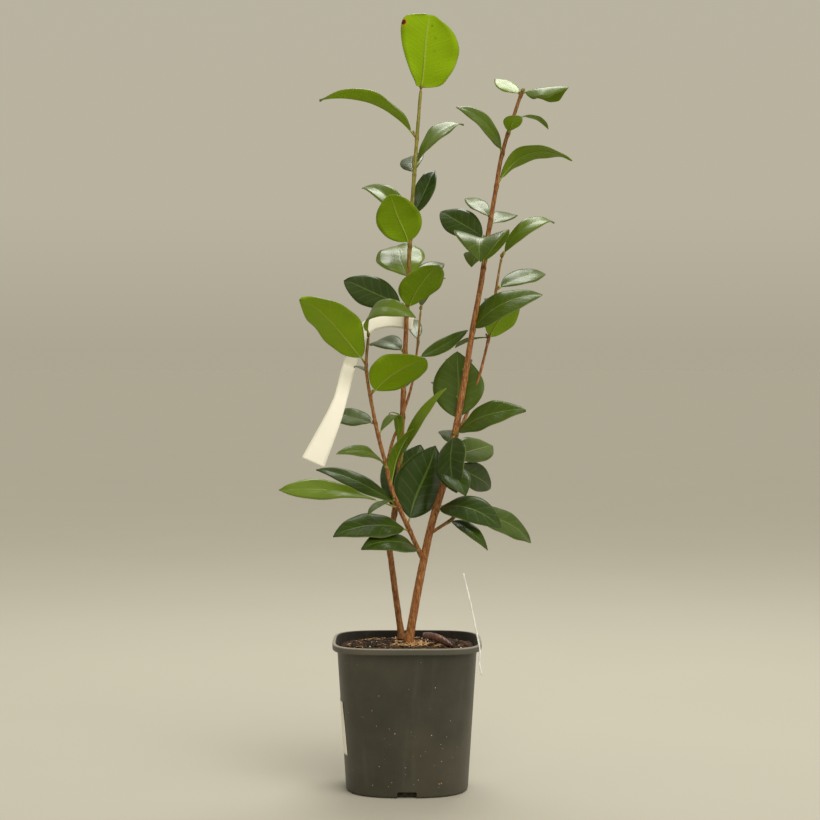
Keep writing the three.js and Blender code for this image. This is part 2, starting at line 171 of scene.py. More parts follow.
class Finish(Nodes):
    """A material whose base colour is tinted step by step."""

    def __init__(self, name, gloss, **constants):
        self.material = bpy.data.materials.new(name)
        super().__init__(self.material)
        self.set(specular_ior_level=gloss, **constants)
        self.base = None

    def set(self, **inputs):
        shader = self.tree.nodes["Principled BSDF"]
        for word, given in inputs.items():
            self.feed(shader, {word.replace("_", " ").title().replace("Ior", "IOR"): given})

    def coordinates(self, upwards=1):
        place = self.node("ShaderNodeTexCoord", output="Object")
        return self.node("ShaderNodeMapping", {}, {"Vector": place, "Scale": (1, 1, upwards)})

    def attribute(self, name):
        return self.node("ShaderNodeAttribute", {"attribute_name": name}, output="Fac")

    def across_and_along(self):
        """A blade's own directions: 0 to 1 from edge to edge, and 0 to 1 from base to tip."""
        place = self.node("ShaderNodeUVMap", {"uv_map": "UVMap"})
        return [self.node("ShaderNodeSeparateXYZ", {}, {0: place}, output=axis) for axis in (0, 1)]

    def noise(self, scale, detail=2.0, upwards=1, roughness=0.5, seed=None):
        """Cloudy noise, as many times finer upwards as asked. A seed gives each leaf its own."""
        inputs = {"Vector": self.coordinates(upwards), "Scale": scale, "Detail": detail, "Roughness": roughness}
        if seed:
            inputs["W"] = seed
        return self.node("ShaderNodeTexNoise", {"noise_dimensions": "4D" if seed else "3D"}, inputs)

    def cells(self, scale, upwards=1):
        inputs = {"Vector": self.coordinates(upwards), "Scale": scale}
        return self.node("ShaderNodeTexVoronoi", {}, inputs, "Distance")

    def mix(self, amount, first, second, blend="MIX"):
        pair = {0: amount, 6: full_colour(first), 7: full_colour(second)}
        return self.node("ShaderNodeMix", {"data_type": "RGBA", "blend_type": blend}, pair, 2)

    def tint(self, amount, colour, blend="MIX"):
        self.base = self.mix(amount, self.base, colour, blend)

    def done(self, roughness, height, depth, strength):
        """Joins the looks to the shader, with the height as relief."""
        normal = self.node("ShaderNodeBump", {}, {"Height": height, "Distance": depth, "Strength": strength})
        self.set(base_color=self.base, roughness=roughness, normal=normal)
        return self.material


# Meshes ----------


def sheet(bm, across, along, place, **values):
    """Lays a grid by place(-1 to 1 across, 0 to 1 along), with its UV map and named values."""
    uv = bm.loops.layers.uv.get("UVMap") or bm.loops.layers.uv.new("UVMap")
    corners = bmesh.ops.create_grid(bm, x_segments=across, y_segments=along, size=1)["verts"]
    faces = list(dict.fromkeys(face for corner in corners for face in corner.link_faces))
    for face in faces:
        for loop in face.loops:
            loop[uv].uv = ((loop.vert.co.x + 1) / 2, (loop.vert.co.y + 1) / 2)
    for corner in corners:
        x, y = corner.co.x, (corner.co.y + 1) / 2
        for name, value in values.items():
            corner[bm.verts.layers.float[name]] = value(x, y) if callable(value) else value
        corner.co = place(x, y)
    return faces


def tube(bm, around, along, line, radius, **values):
    """A closed tube along line(share) -> (place, direction), with radius(share, angle)."""

    def place(x, y):
        centre, direction = line(y)
        right = Vector((1, 0, 0)) - direction * direction.x
        right.normalize()
        back = direction.cross(right)
        angle = x * math.pi
        reach = radius(y, angle) if TUBE_END < y < 1 - TUBE_END else POLE
        return centre + (right * math.cos(angle) + back * math.sin(angle)) * reach

    sheet(bm, around, along, place, **values)


def thicken(bm, faces, thickness):
    """Gives a sheet its wall, along the normals that its bent shape has."""
    bm.normal_update()
    bmesh.ops.solidify(bm, geom=faces, thickness=thickness)


def new_mesh(*values):
    bm = bmesh.new()
    for name in values:
        bm.verts.layers.float.new(name)
    return bm


def finished_mesh(name, bm):
    mesh = bpy.data.meshes.new(name)
    bm.to_mesh(mesh)
    bm.free()
    return mesh


def shown(name, data):
    """A new object of the scene."""
    made = bpy.data.objects.new(name, data)
    bpy.context.scene.collection.objects.link(made)
    return made


def shells(bm):
    """The mesh's separate shells, each as a list of faces."""
    waiting = set(bm.faces)
    for first in list(bm.faces):
        if first not in waiting:
            continue
        waiting.remove(first)
        shell = [first]
        for face in shell:
            for edge in face.edges:
                for beside in edge.link_faces:
                    if beside in waiting:
                        waiting.remove(beside)
                        shell.append(beside)
        yield shell


def turn_outwards(bm):
    """Turns every shell's faces outwards. A thin bent shell can fool the operator, but not its own volume."""
    bmesh.ops.recalc_face_normals(bm, faces=bm.faces)
    bm.normal_update()
    for shell in shells(bm):
        middle = shell[0].calc_center_median()
        volume = sum((face.calc_center_median() - middle).dot(face.normal) * face.calc_area() for face in shell)
        if volume < 0:
            bmesh.ops.reverse_faces(bm, faces=shell)


def piece(name, bm, finishes, nodes=(), weld=1e-6):
    """Welds and turns the faces outwards, attaches the piece to the root body and hides the parts that it
    replaces.
    """
    if not bm.faces:
        raise RuntimeError(f"{name} has no faces")
    bmesh.ops.remove_doubles(bm, verts=bm.verts, dist=weld)
    turn_outwards(bm)
    mesh = finished_mesh(name, bm)
    mesh.shade_smooth()
    for finish in finishes:
        mesh.materials.append(finish)
    made = shown(name, mesh)
    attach(made, "root")
    if nodes:
        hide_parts(*nodes)
    return made


def blend(first, second, share):
    return first + (second - first) * share


def smooth_step(low, high, amount):
    share = min(1.0, max(0.0, (amount - low) / (high - low)))
    return share * share * (3 - 2 * share)


def bell(away, width):
    """1 in the middle, and falling smoothly on both sides."""
    return math.exp(-((away / width) ** 2))


def polar(reach, angle, height=0.0):
    return Vector((reach * math.cos(angle), reach * math.sin(angle), height))


def measured(*places):
    """Places in metres, from a table in millimetres."""
    return [Vector(place) * MM for place in places]


# Shoots ----------


def curve_point(points, share):
    """A place on the smooth line through the points, with centripetal spacing."""
    spans = len(points) - 1
    span = min(int(share * spans), spans - 1)
    weight = share * spans - span
    first, last = points[span], points[span + 1]
    before = points[span - 1] if span else first * 2 - last
    after = points[span + 2] if span + 2 <= spans else last * 2 - first
    pairs = (before, first), (first, last), (last, after)
    step0, step1, step2 = (math.sqrt((end - start).length) for start, end in pairs)
    rise = ((first - before) / step0 - (last - before) / (step0 + step1) + (last - first) / step1) * step1
    fall = ((last - first) / step1 - (after - first) / (step1 + step2) + (after - last) / step2) * step1
    square = weight * weight
    bend = (last - first) * 3 - rise * 2 - fall
    turn = (first - last) * 2 + rise + fall
    return first + rise * weight + bend * square + turn * (square * weight)


def at_height(points, height):
    """The place at a height on the line through points that rise."""
    low, high = 0.0, 1.0
    for _ in range(26):
        middle = (low + high) / 2
        if curve_point(points, middle).z < height:
            low = middle
        else:
            high = middle
    return curve_point(points, (low + high) / 2)


class Shoot:
    """A tapering limb through a few places, asked for by height. Its top grows greener."""

    def __init__(self, foot, tip, green_from, green_to, places):
        self.foot, self.tip = foot * MM, tip * MM
        self.green_from, self.green_to = green_from, green_to
        self.points = measured(*places)
        self.low, self.high = places[0][2] * MM, places[-1][2] * MM

    def place(self, height):
        return at_height(self.points, height)

    def line(self, share):
        here = curve_point(self.points, share)
        low, high = max(0.0, share - 0.002), min(1.0, share + 0.002)
        ahead = curve_point(self.points, high) - curve_point(self.points, low)
        return here, ahead.normalized()

    def radius(self, height):
        return blend(self.foot, self.tip, (height - self.low) / (self.high - self.low))


SOIL_TOP = 135.2
GAP = 0.3
SHOOTS = {
    "left_leader": Shoot(3.1, 1.5, 430, 600, [
        (-5, 30, SOIL_TOP + GAP), (-10, 28, 172), (-15, 27, 210), (-17, 25, 228), (-12, 22, 258),
        (-7, 18, 300), (-4, 12, 360), (-1, 6, 431), (3, 0, 520), (7, -4, 582), (13, -8, 658),
    ]),
    "right_leader": Shoot(4.1, 1.6, 560, 900, [
        (1, -2, SOIL_TOP + GAP), (12, 0, 196), (23, 1, 248), (34, 2, 285), (44, 4, 328), (55, 6, 389),
        (62.5, 6, 436), (70, 6, 477), (76, 4, 519), (82, 3, 555), (90, 1, 600), (101, -2, 635),
        (107.5, -4, 655),
    ]),
    "front_shoot": Shoot(2.3, 1.3, 330, 560, [
        (16, 0, 213), (3, -5, 242), (-7, -8, 264), (-15, -10, 284), (-20, -12, 306),
        (-27, -15, 333), (-33, -18, 363), (-38, -21, 396), (-36, -23, 426),
    ]),
    "inner_shoot": Shoot(1.4, 1.0, 380, 520, [
        (-19.5, -12, 305), (-13, 5, 329), (-6, 19, 346), (5, 25, 382), (10, 26, 417), (13, 26, 452),
    ]),
    "side_shoot": Shoot(1.5, 1.0, 420, 600, [
        (46, 4, 331), (58, 13, 356), (65, 17, 376), (77, 22, 422), (85, 24, 473), (90, 26, 502),
    ]),
    "low_shoot": Shoot(1.7, 1.2, 230, 300, [(22, 1, 240), (32, -3, 247), (41, -4, 253), (47, -4, 258)]),
}


# Leaves: height of the foot on the shoot, reach to the tip, width, shade, and how the blade is formed.
# Shade goes from 0, an old deep green leaf, to 1, a young yellow green one.


def leaf(
    at, reach, wide, shade, arch=5, face=UP, fold=12, plump=1.25, petiole=0.1, lean=1, twist=0, edges=None,
):
    return dict(
        at=at, reach=Vector(reach) * MM, wide=wide * MM, arch=arch * MM, face=Vector(face), fold=fold,
        plump=plump, petiole=petiole, lean=lean, twist=twist, shade=shade, edges=edges,
    )


# The top leaf's edges, left and right of its midrib, at hundredths of its length
TOP_EDGES = measured(
    (1, 1, 0), (5, 9, 2), (6.5, 17, 6), (12, 24, 20), (18, 30.5, 39), (22, 32.5, 57), (24.5, 27, 75),
    (24.5, 19, 86), (22, 10, 94), (13, 6, 98.5), (5, 3, 100),
)

LEAVES = {
    "left_leader": [
        leaf(656, (9, -8, 69), 56, 1.0, -3, BACK, 5, petiole=0.04, edges=TOP_EDGES),
        leaf(611, (-90, -26, 33), 38, 0.6, 15, (0, -0.21, 1), 46, twist=38),
        leaf(582, (47, 26, 46), 25, 0.5, 12, (-0.35, -0.6, 0.7), 20, lean=1.45),
        leaf(577, (0, 60, 24), 24, 0.0, face=(-0.3, -0.6, 0.6)),
        leaf(535, (23, 30, 50), 24, 0.05, face=FRONT, fold=38, twist=-40),
        leaf(510, (-18, -24, 48), 42, 0.72, 2, BACK, 5, plump=1.7),
        leaf(518, (-46, 30, 50), 24, 0.55, 20, FRONT_UP, 24),
        leaf(523, (-16, 60, 20), 28, 0.4, 7),
        leaf(478, (-12, 60, 37), 48, 0.8, face=FRONT_UP),
        leaf(452, (-61, 32, 28), 32, 0.15, 6, FRONT),
        leaf(449, (29, -38, 44), 44, 0.55, 4, BACK_LEFT),
        leaf(470, (35, 52, 27), 22, 0.3, face=FRONT_UP),
        leaf(257, (-4, 44, 54), 24, 0.1, 3, FRONT),
        leaf(268, (24, 36, 54), 36, 0.1, 3, FRONT),
        leaf(300, (43, -20, 78), 12, 0.65, 12, (-0.6, -0.8, 0.2), petiole=0.2),
        leaf(349, (-13, -5, 5), 5, 0.4, 2),
        leaf(372, (-16, 62, 14), 30, 0.3, 8),
        leaf(410, (-33, 52, 8), 26, 0.25, 8, FRONT_UP),
    ],
    "front_shoot": [
        leaf(222, (-54, -44, 8), 30, 0.15, 11, FRONT_UP),
        leaf(243, (-71, -34, -2), 34, 0.15, 9, FRONT_UP),
        leaf(248, (27, 24, 74), 50, 0.0, -3, (0.35, -1, 0.15), 0),
        leaf(272, (-26, -44, -10), 12, 0.25, 4),
        leaf(266, (-78, 22, 34), 20, 0.2, 8, FRONT_UP),
        leaf(264, (-112, -24, 19), 24, 0.6, 9, FRONT_UP, 16, petiole=0.22, lean=1.5, twist=-35),
        leaf(284, (21, -2, 56), 22, 0.2, face=(-0.75, 0.5, 0.3), fold=30),
        leaf(300, (-46, -50, 19), 18, 0.4, 11, FRONT_UP),
        leaf(333, (19, 15, -9), 15, 0.6, 24),
        leaf(344, (-45, 44, 11), 26, 0.35, 0, FRONT_UP),
        leaf(371, (51, -30, 36), 54, 0.65, 4, BACK_LEFT, 14, plump=1.45),
        leaf(392, (-12, 9, 6), 9, 0.4, 2),
        leaf(399, (-60, -18, 62), 54, 0.7, 7, BACK_RIGHT, 16, plump=1.45),
        leaf(425, (44, -32, 18), 26, 0.6, 24, FRONT_UP),
    ],
    "inner_shoot": [
        leaf(405, (49, 8, 28), 18, 0.35, -3, FRONT_UP),
        leaf(420, (-6, 56, 24), 14, 0.4, 4),
        leaf(451, (24, 30, 32), 24, 0.4, face=LEFT),
    ],
    "right_leader": [
        leaf(262, (61, -36, -14), 34, 0.1, 13, FRONT_UP),
        leaf(304, (15, -54, -25), 26, 0.1, 5, FRONT_UP),
        leaf(306, (42, 50, -27), 27, 0.1, 6, FRONT, plump=1),
        leaf(309, (43, 48, 12), 32, 0.35, 4, (0, -0.9, 0.5)),
        leaf(322, (-7, 54, 13), 18, 0.2, face=FRONT_UP),
        leaf(331, (66, -26, 27), 34, 0.35, 10, FRONT_UP),
        leaf(334, (1, -38, -53), 36, 0.05, 8, (-0.6, -0.75, 0.3)),
        leaf(343, (1, 18, 69), 50, 0.4, -4, FRONT),
        leaf(362, (-20, 62, 18), 30, 0.3, 8, petiole=0.38),
        leaf(386, (-6, 60, 16), 26, 0.3, 7, petiole=0.38),
        leaf(432, (67, 12, 34), 32, 0.4, 12, FRONT_UP, petiole=0.04, lean=0.85),
        leaf(490, (-5, -52, 6), 59, 0.3, 24, fold=30),
        leaf(498, (-10, 64, -4), 28, 0.3, 10),
        leaf(516, (-44, 38, 30), 30, 0.15, face=FRONT),
        leaf(530, (27, 50, 13), 20, 0.45, 5, FRONT_UP),
        leaf(536, (-22, 50, 23), 18, 0.45, 5, FRONT_UP),
        leaf(567, (69, -24, 22), 30, 0.5, 22, BACK_UP),
        leaf(597, (-43, -22, 43), 22, 0.4, 10, (0.5, -0.7, 0.5)),
        leaf(616, (8, -34, 14), 18, 0.7, 3, (0, 0.5, 1)),
        leaf(626, (37, 28, -2), 14, 0.45, 9, UP),
        leaf(652, (-23, 32, 19), 17, 0.8, 1, FRONT_UP, 4),
        leaf(653, (43, -22, 4), 34, 0.5, 3, fold=-40),
    ],
    "side_shoot": [
        leaf(421, (30, -6, 42), 38, 0.55, 4, BACK_LEFT),
        leaf(425, (-31, 44, -9), 14, 0.3, 3),
        leaf(450, (8, 58, 12), 24, 0.3, 6),
        leaf(470, (50, 42, 17), 24, 0.35, 6, FRONT_UP),
        leaf(500, (53, 26, 37), 18, 0.55, 18, FRONT_UP),
    ],
    "low_shoot": [
        leaf(252, (35, -38, -24), 15, 0.2, 8, FRONT_UP, 20),
        leaf(254, (8, 62, 8), 28, 0.2, 6),
        leaf(257, (73, 30, -28), 34, 0.25, 12, FRONT_UP),
    ],
}

LIMBS = ("left_stem", "right_stem", "inner_bough", "side_bough", "low_bough")

# Each piece of leaves: its shoots, and the masses that it replaces
SIDES = (
    ("left_leaves", ("left_leader", "front_shoot", "inner_shoot"), (
        "left_top_foliage", "left_middle_foliage", "left_lower_foliage", "front_lower_foliage",
        "front_upper_foliage", "inner_foliage",
    )),
    ("right_leaves", ("right_leader", "side_shoot", "low_shoot"), (
        "right_lower_foliage", "right_middle_foliage", "right_upper_foliage", "right_top_foliage",
        "side_foliage", "low_foliage",
    )),
)

# How fine the grids are: faces around or across a form, and stations along it or metres between them
POT_AROUND, SOIL_AROUND, SOIL_RINGS = 192, 200, 46
LIMB_AROUND, LIMB_STEP = 16, 0.0016
LEAF_ACROSS, LEAF_STEP, LEAF_STATIONS = 10, 0.0013, (16, 64)
STALK_AROUND, STALK_STATIONS, BUD_STATIONS = 8, 40, 10
MARKS = 40  # Steps in which a midrib is measured

NODE_WIDTH, SCAR_WIDTH, SCAR_RISE = 0.0022, 0.0011, 0.0008  # Of a stem's swelling and scar at a leaf
FLARE_HEIGHT, FLUTE_HEIGHT, FLUTE_DEPTH = 0.007, 0.01, 0.0006  # Of a stem's foot
RIB_END = 0.9  # Where a raised midrib fades out, as a share of the leaf's length
LEAST_HALF, TOOTH, UNEVEN = 0.35 * MM, 0.16 * MM, 0.35 * MM  # Of a blade: half width, teeth and face


class Blade:
    """A leaf's midrib, its outline and the way that it folds, arches and ripples."""

    def __init__(self, form, start, seed):
        self.form = form
        self.start = start
        self.tip = start + form["reach"]
        chance = random.Random(seed)
        self.phase = [chance.uniform(0, 6.28) for _ in range(4)]
        self.ripple = chance.uniform(0.012, 0.034) * form["wide"]
        self.seed = chance.uniform(0, 20)
        self.tip_turn = chance.uniform(0.0, 2.2) * MM
        self.twist = math.radians(form["twist"] + chance.uniform(-9, 9))
        along = form["reach"].normalized()
        upper = form["face"] - along * form["face"].dot(along)
        upper.normalize()
        self.side = upper.cross(along)
        self.bend = start.lerp(self.tip, 0.5) + upper * (2 * form["arch"])
        self.length = 0.0
        self.marks = [(0.0, 0.0)]
        last = start
        for step in range(1, MARKS + 1):
            here = self.bezier(step / MARKS)
            self.length += (here - last).length
            self.marks.append((self.length, step / MARKS))
            last = here
        self.thickness = max(sizes().leaf_thickness, self.length / 100)

    def bezier(self, share):
        rest = 1 - share
        return self.start * (rest * rest) + self.bend * (2 * rest * share) + self.tip * (share * share)

    def rib(self, share):
        """The midrib's place and direction at a share of its length."""
        target = min(max(share, 0.0), 1.0) * self.length
        for (low, first), (high, second) in zip(self.marks, self.marks[1:]):
            if target <= high + 1e-12:
                step = blend(first, second, (target - low) / (high - low))
                break
        direction = (self.bend - self.start) * (1 - step) + (self.tip - self.bend) * step
        return self.bezier(step), direction.normalized()

    def half(self, x, y):
        """The blade's half width on one side, at a share from its base to its tip."""
        form = self.form
        if form["edges"]:
            left, right, _ = at_height(form["edges"], y * 100 * MM)
            return right if x > 0 else left
        full = max(0.0, math.sin(math.pi * y ** (0.9 * form["lean"]))) ** (1 / form["plump"])
        return form["wide"] / 2 * full * (1 - 0.1 * math.exp((y - 1) / 0.08))

    def turned(self, y):
        """The midrib's place, and the twisted blade's side and upper direction there."""
        petiole = self.form["petiole"]
        centre, direction = self.rib(petiole + (1 - petiole) * y)
        out = direction.cross(self.side)
        turn = self.twist * (max(y, 0.0) - 0.35)
        side = self.side * math.cos(turn) + out * math.sin(turn)
        return centre, side, direction.cross(side)

    def place(self, x, y, stations):
        form = self.form
        centre, side, out = self.turned(y)
        half = max(self.half(x, y), LEAST_HALF)
        edge = x * x
        if abs(x) > 0.999 and 0.06 < y < 0.97:
            half += TOOTH if round(y * stations) % 2 else -TOOTH
        lift = math.radians(form["fold"])
        fold = math.sin(lift) * (math.sqrt(edge + 0.015) - 0.12)
        wave = self.ripple * edge * (
            math.sin(9 * y + self.phase[0] + x * 0.6) + 0.5 * math.sin(19 * y + self.phase[1] - x)
        )
        droop = self.tip_turn * max(0.0, (y - 0.72) / 0.28) ** 2
        sway = half * 0.06 * math.sin(4 * y + self.phase[2])
        swell = UNEVEN * noise.noise(Vector((x * half * 75, y * self.length * 60, self.seed)))
        lift_out = half * fold - half * 0.16 * edge + (wave + swell) * smooth_step(0, 0.2, y) - droop
        return centre + side * (half * math.cos(lift) * x + sway) + out * lift_out


def blades():
    for shoot_name, forms in LEAVES.items():
        shoot = SHOOTS[shoot_name]
        for number, form in enumerate(forms):
            yield shoot_name, Blade(form, shoot.place(form["at"] * MM), f"{shoot_name} {number}")


# Finishes ----------


def vein_pattern(finish, pairs=7.2):
    """Masks of a leaf's midrib, side veins and margin, and the swelling between its veins."""
    across, along = finish.across_and_along()
    off = abs(across * 2 - 1)
    seed = finish.attribute("seed")
    wander = finish.noise(26, 1, seed=seed) - 0.5
    slant = along * pairs - off * (off * -0.55 + 1.9) + wander * 0.5
    near = abs(slant.fraction() - 0.5) * 2
    inside = 1 - off.between(0.72, 0.98)
    midrib = 1 - off.between(0.018, 0.06)
    return midrib, near.between(0.8, 1.0) * inside, (1 - near) * inside, off.between(0.955, 1.0), seed


def veined(finish, pattern, paleness, vein, vein_share, margin_share):
    """Draws the veins and the margin over a leaf's base colour."""
    midrib, veins, _, margin, _ = pattern
    pale = finish.mix(paleness, finish.base, vein)
    finish.tint(veins * vein_share, pale)
    finish.tint(midrib * 0.8, pale)
    finish.tint(margin * margin_share, "leaf_margin")


def leaf_upper():
    finish = Finish("leaf upper face", 0.34)
    pattern = midrib, veins, swell, margin, seed = vein_pattern(finish)
    finish.base = finish.mix(finish.attribute("shade").between(0.0, 1.0), "leaf_deep", "leaf_young")
    patches = finish.noise(30, 4, roughness=0.6, seed=seed)
    finish.tint(patches.between(0.35, 0.72) * 0.45, (0.55, 0.62, 0.5), "MULTIPLY")
    finish.tint((seed * 7.31).fraction() * 0.35, "leaf_deep")
    finish.tint(finish.noise(420, 3).between(0.55, 0.8) * 0.1, "leaf_vein")
    veined(finish, pattern, 0.5, "leaf_vein", 0.3, 0.4)
    rough = finish.noise(60, 3, seed=seed) * 0.14 + 0.26 + veins * 0.05
    return finish.done(rough, swell * 0.3 - veins * 0.2 - midrib, 0.0002, 0.4)


def leaf_under():
    finish = Finish("leaf underside", 0.15)
    pattern = midrib, veins, swell, margin, seed = vein_pattern(finish)
    finish.base = finish.mix(finish.attribute("shade").between(0.0, 1.0), "under_deep", "under_young")
    patches = finish.noise(22, 4, roughness=0.6, seed=seed)
    finish.tint(patches.between(0.3, 0.75) * 0.3, (0.72, 0.8, 0.7), "MULTIPLY")
    finish.tint(finish.noise(500, 3).between(0.5, 0.8) * 0.12, "under_vein")
    finish.tint((seed * 5.17).fraction() * 0.3, "under_deep")
    veined(finish, pattern, 0.6, "under_vein", 0.22, 0.5)
    marked = finish.attribute("marks")
    spots = 1 - finish.cells(95).between(0.05, 0.2)
    finish.tint(spots * finish.noise(24, 1).between(0.58, 0.68) * marked, (0.09, 0.03, 0.008))
    across, along = finish.across_and_along()
    off_burn = (across - 0.03) ** 2.0 + ((along - 0.85) * 1.3) ** 2.0 + patches * 0.0015
    finish.tint((1 - off_burn.between(0.003, 0.009)) * marked * 0.7, (0.5, 0.3, 0.02))
    finish.tint((1 - off_burn.between(0.0016, 0.0042)) * marked, (0.09, 0.02, 0.005))
    height = veins * 0.5 + midrib * 0.9 + swell * 0.3 + finish.noise(900, 2) * 0.05
    return finish.done(finish.noise(70, 3) * 0.16 + 0.46, height, 0.0004, 0.7)


def petiole_finish():
    finish = Finish("petiole", 0.2)
    green = finish.mix(finish.attribute("shade") * 0.6 + 0.4, "leaf_vein", "under_vein")
    finish.base = finish.mix(finish.attribute("age"), "bark_red", green)
    finish.tint(finish.noise(700, 3).between(0.4, 0.8) * 0.2, "shoot_green")
    return finish.done(finish.noise(300, 2) * 0.2 + 0.4, finish.noise(1200, 2), 0.0002, 0.6)


def bark_finish():
    finish = Finish("bark", 0.3)
    streaks = finish.noise(900, 5, 0.16, 0.65)
    finish.base = finish.ramp(
        streaks, (0.28, "bark_dark"), (0.45, "bark_red"), (0.58, "bark_brown"), (0.74, "bark_pale"),
    )
    finish.tint(finish.noise(120, 4, 0.7, 0.6).between(0.5, 0.72) * 0.4, "bark_red")
    green = finish.mix(streaks.between(0.35, 0.7), "shoot_green", "shoot_yellow")
    finish.tint(finish.attribute("green"), green)
    scars = finish.attribute("scar")
    finish.tint(scars * 0.45, "bark_dark")
    pores = (1 - finish.cells(420, 0.5).between(0.1, 0.28)) * 0.5
    finish.tint(pores, "bark_pale")
    height = streaks + pores * 0.5 - scars * 0.3 + finish.cells(300, 0.16) * 0.6
    return finish.done(streaks * 0.25 + 0.5, height, 0.0005, 0.9)


def bud_finish():
    finish = Finish("bud scales", 0.4)
    scales = finish.cells(700, 0.6)
    finish.base = finish.ramp(scales, (0.1, "shoot_yellow"), (0.45, "shoot_green"), (0.8, "bark_red"))
    return finish.done(scales * 0.2 + 0.4, scales, 0.0003, 0.8)


def pot_finish():
    finish = Finish("moulded pot plastic", 0.5)
    cloudy = finish.noise(14, 5, roughness=0.6)
    finish.base = finish.mix(cloudy.between(0.3, 0.75), "pot_dark", "pot_light")
    streaks = finish.noise(60, 4, 0.12, 0.6)
    dust = finish.noise(900, 4, roughness=0.7).between(0.62, 0.8)
    scuffs = finish.noise(120, 5, 6, 0.7).between(0.66, 0.76)
    height = finish.node("ShaderNodeSeparateXYZ", {}, {0: finish.coordinates()}, output=2)
    under_rim = height.between(0.1335, 0.1345)
    for mask in (streaks.between(0.55, 0.85) * 0.25, dust * 0.35, scuffs * 0.3, under_rim * 0.3):
        finish.tint(mask, "pot_dust")
    # A paler line along the rim's top edge: partly wear, partly a painted highlight.
    finish.tint(height.between(0.1385, 0.1398) * (streaks * 0.5 + 0.25), "pot_edge")
    grain = finish.noise(1500, 3)
    rough = cloudy * 0.12 + grain * 0.1 + dust * 0.15 + 0.36
    return finish.done(rough, grain + streaks * 0.4 - scuffs * 0.4, 0.00025, 0.5)


def stained_and_shaded_finish():
    # The inside is darkened towards wet soil's colour: partly soil stains, partly painted shade.
    finish = Finish("soil stained inside of the pot", 0.3)
    stains_and_shade = finish.noise(90, 5, 0.5, 0.65)
    finish.base = finish.mix(stains_and_shade.between(0.42, 0.8), "soil_dark", "pot_dark")
    return finish.done(stains_and_shade * 0.2 + 0.55, stains_and_shade, 0.0003, 0.6)


def soil_finish():
    finish = Finish("potting soil", 0.25)
    lumps = finish.noise(260, 6, roughness=0.7)
    finish.base = finish.ramp(lumps, (0.32, "soil_dark"), (0.55, "soil_brown"), (0.78, "soil_fibre"))
    return finish.done(lumps * 0.2 + 0.75, lumps + finish.noise(1400, 4) * 0.5, 0.0016, 1.0)


def crumb_finish(name, dark, pale, scale):
    finish = Finish(name, 0.3)
    grain = finish.noise(scale, 5, 0.6, 0.65)
    tone = finish.attribute("tone")
    finish.base = finish.mix((grain * 0.5 + tone * tone * 0.8).between(0.25, 1.0), dark, pale)
    return finish.done(grain * 0.2 + 0.65, grain, 0.0006, 0.9)


def dry_leaf_finish():
    finish = Finish("dry leaf", 0.4)
    midrib, veins, swell, _, _ = vein_pattern(finish, 7)
    blotch = finish.noise(70, 3, roughness=0.6)
    finish.base = finish.ramp(blotch, (0.35, "dry_dark"), (0.55, "dry_leaf"), (0.85, "dry_pale"))
    finish.tint(midrib * 0.7 + veins * 0.12, "dry_pale")
    return finish.done(blotch * 0.2 + 0.3, swell * 0.5 + midrib + blotch * 0.4, 0.0004, 0.6)


def label_finish(name):
    finish = Finish(name, 0.4)
    fibres = finish.noise(700, 4, roughness=0.6)
    clouds = finish.noise(35, 3)
    finish.base = finish.mix(clouds.between(0.35, 0.75) * 0.5, "label", "label_aged")
    finish.tint(fibres.between(0.6, 0.8) * 0.15, "label_aged")
    return finish.done(fibres * 0.15 + 0.42, fibres + clouds, 0.00012, 0.5)


def clear_finish():
    finish = Finish("milky clear strip", 0.7, coat_weight=0.4, coat_roughness=0.1)
    scuffs = finish.noise(500, 3, 0.2)
    finish.base = finish.mix(scuffs.between(0.35, 0.7), (0.72, 0.72, 0.68), (0.95, 0.95, 0.93))
    return finish.done(scuffs * 0.2 + 0.15, scuffs, 0.0001, 0.5)


def floor_finish():
    finish = Finish("pale floor", 0.3)
    clouds = finish.noise(3, 3)
    paler = [amount * 1.06 for amount in bpy.context.scene.camellia_colours.floor]
    finish.set(base_color=finish.mix(clouds, "floor", paler), roughness=clouds * 0.1 + 0.7)
    return finish.material


# What a user would change ----------


def colour(name, description, default):
    return bpy.props.FloatVectorProperty(
        name=name, description=description, default=default, subtype="COLOR", size=3, min=0, max=1,
    )


def length(name, description, default):
    return bpy.props.FloatProperty(name=name, description=description, default=default, min=0, unit="LENGTH")


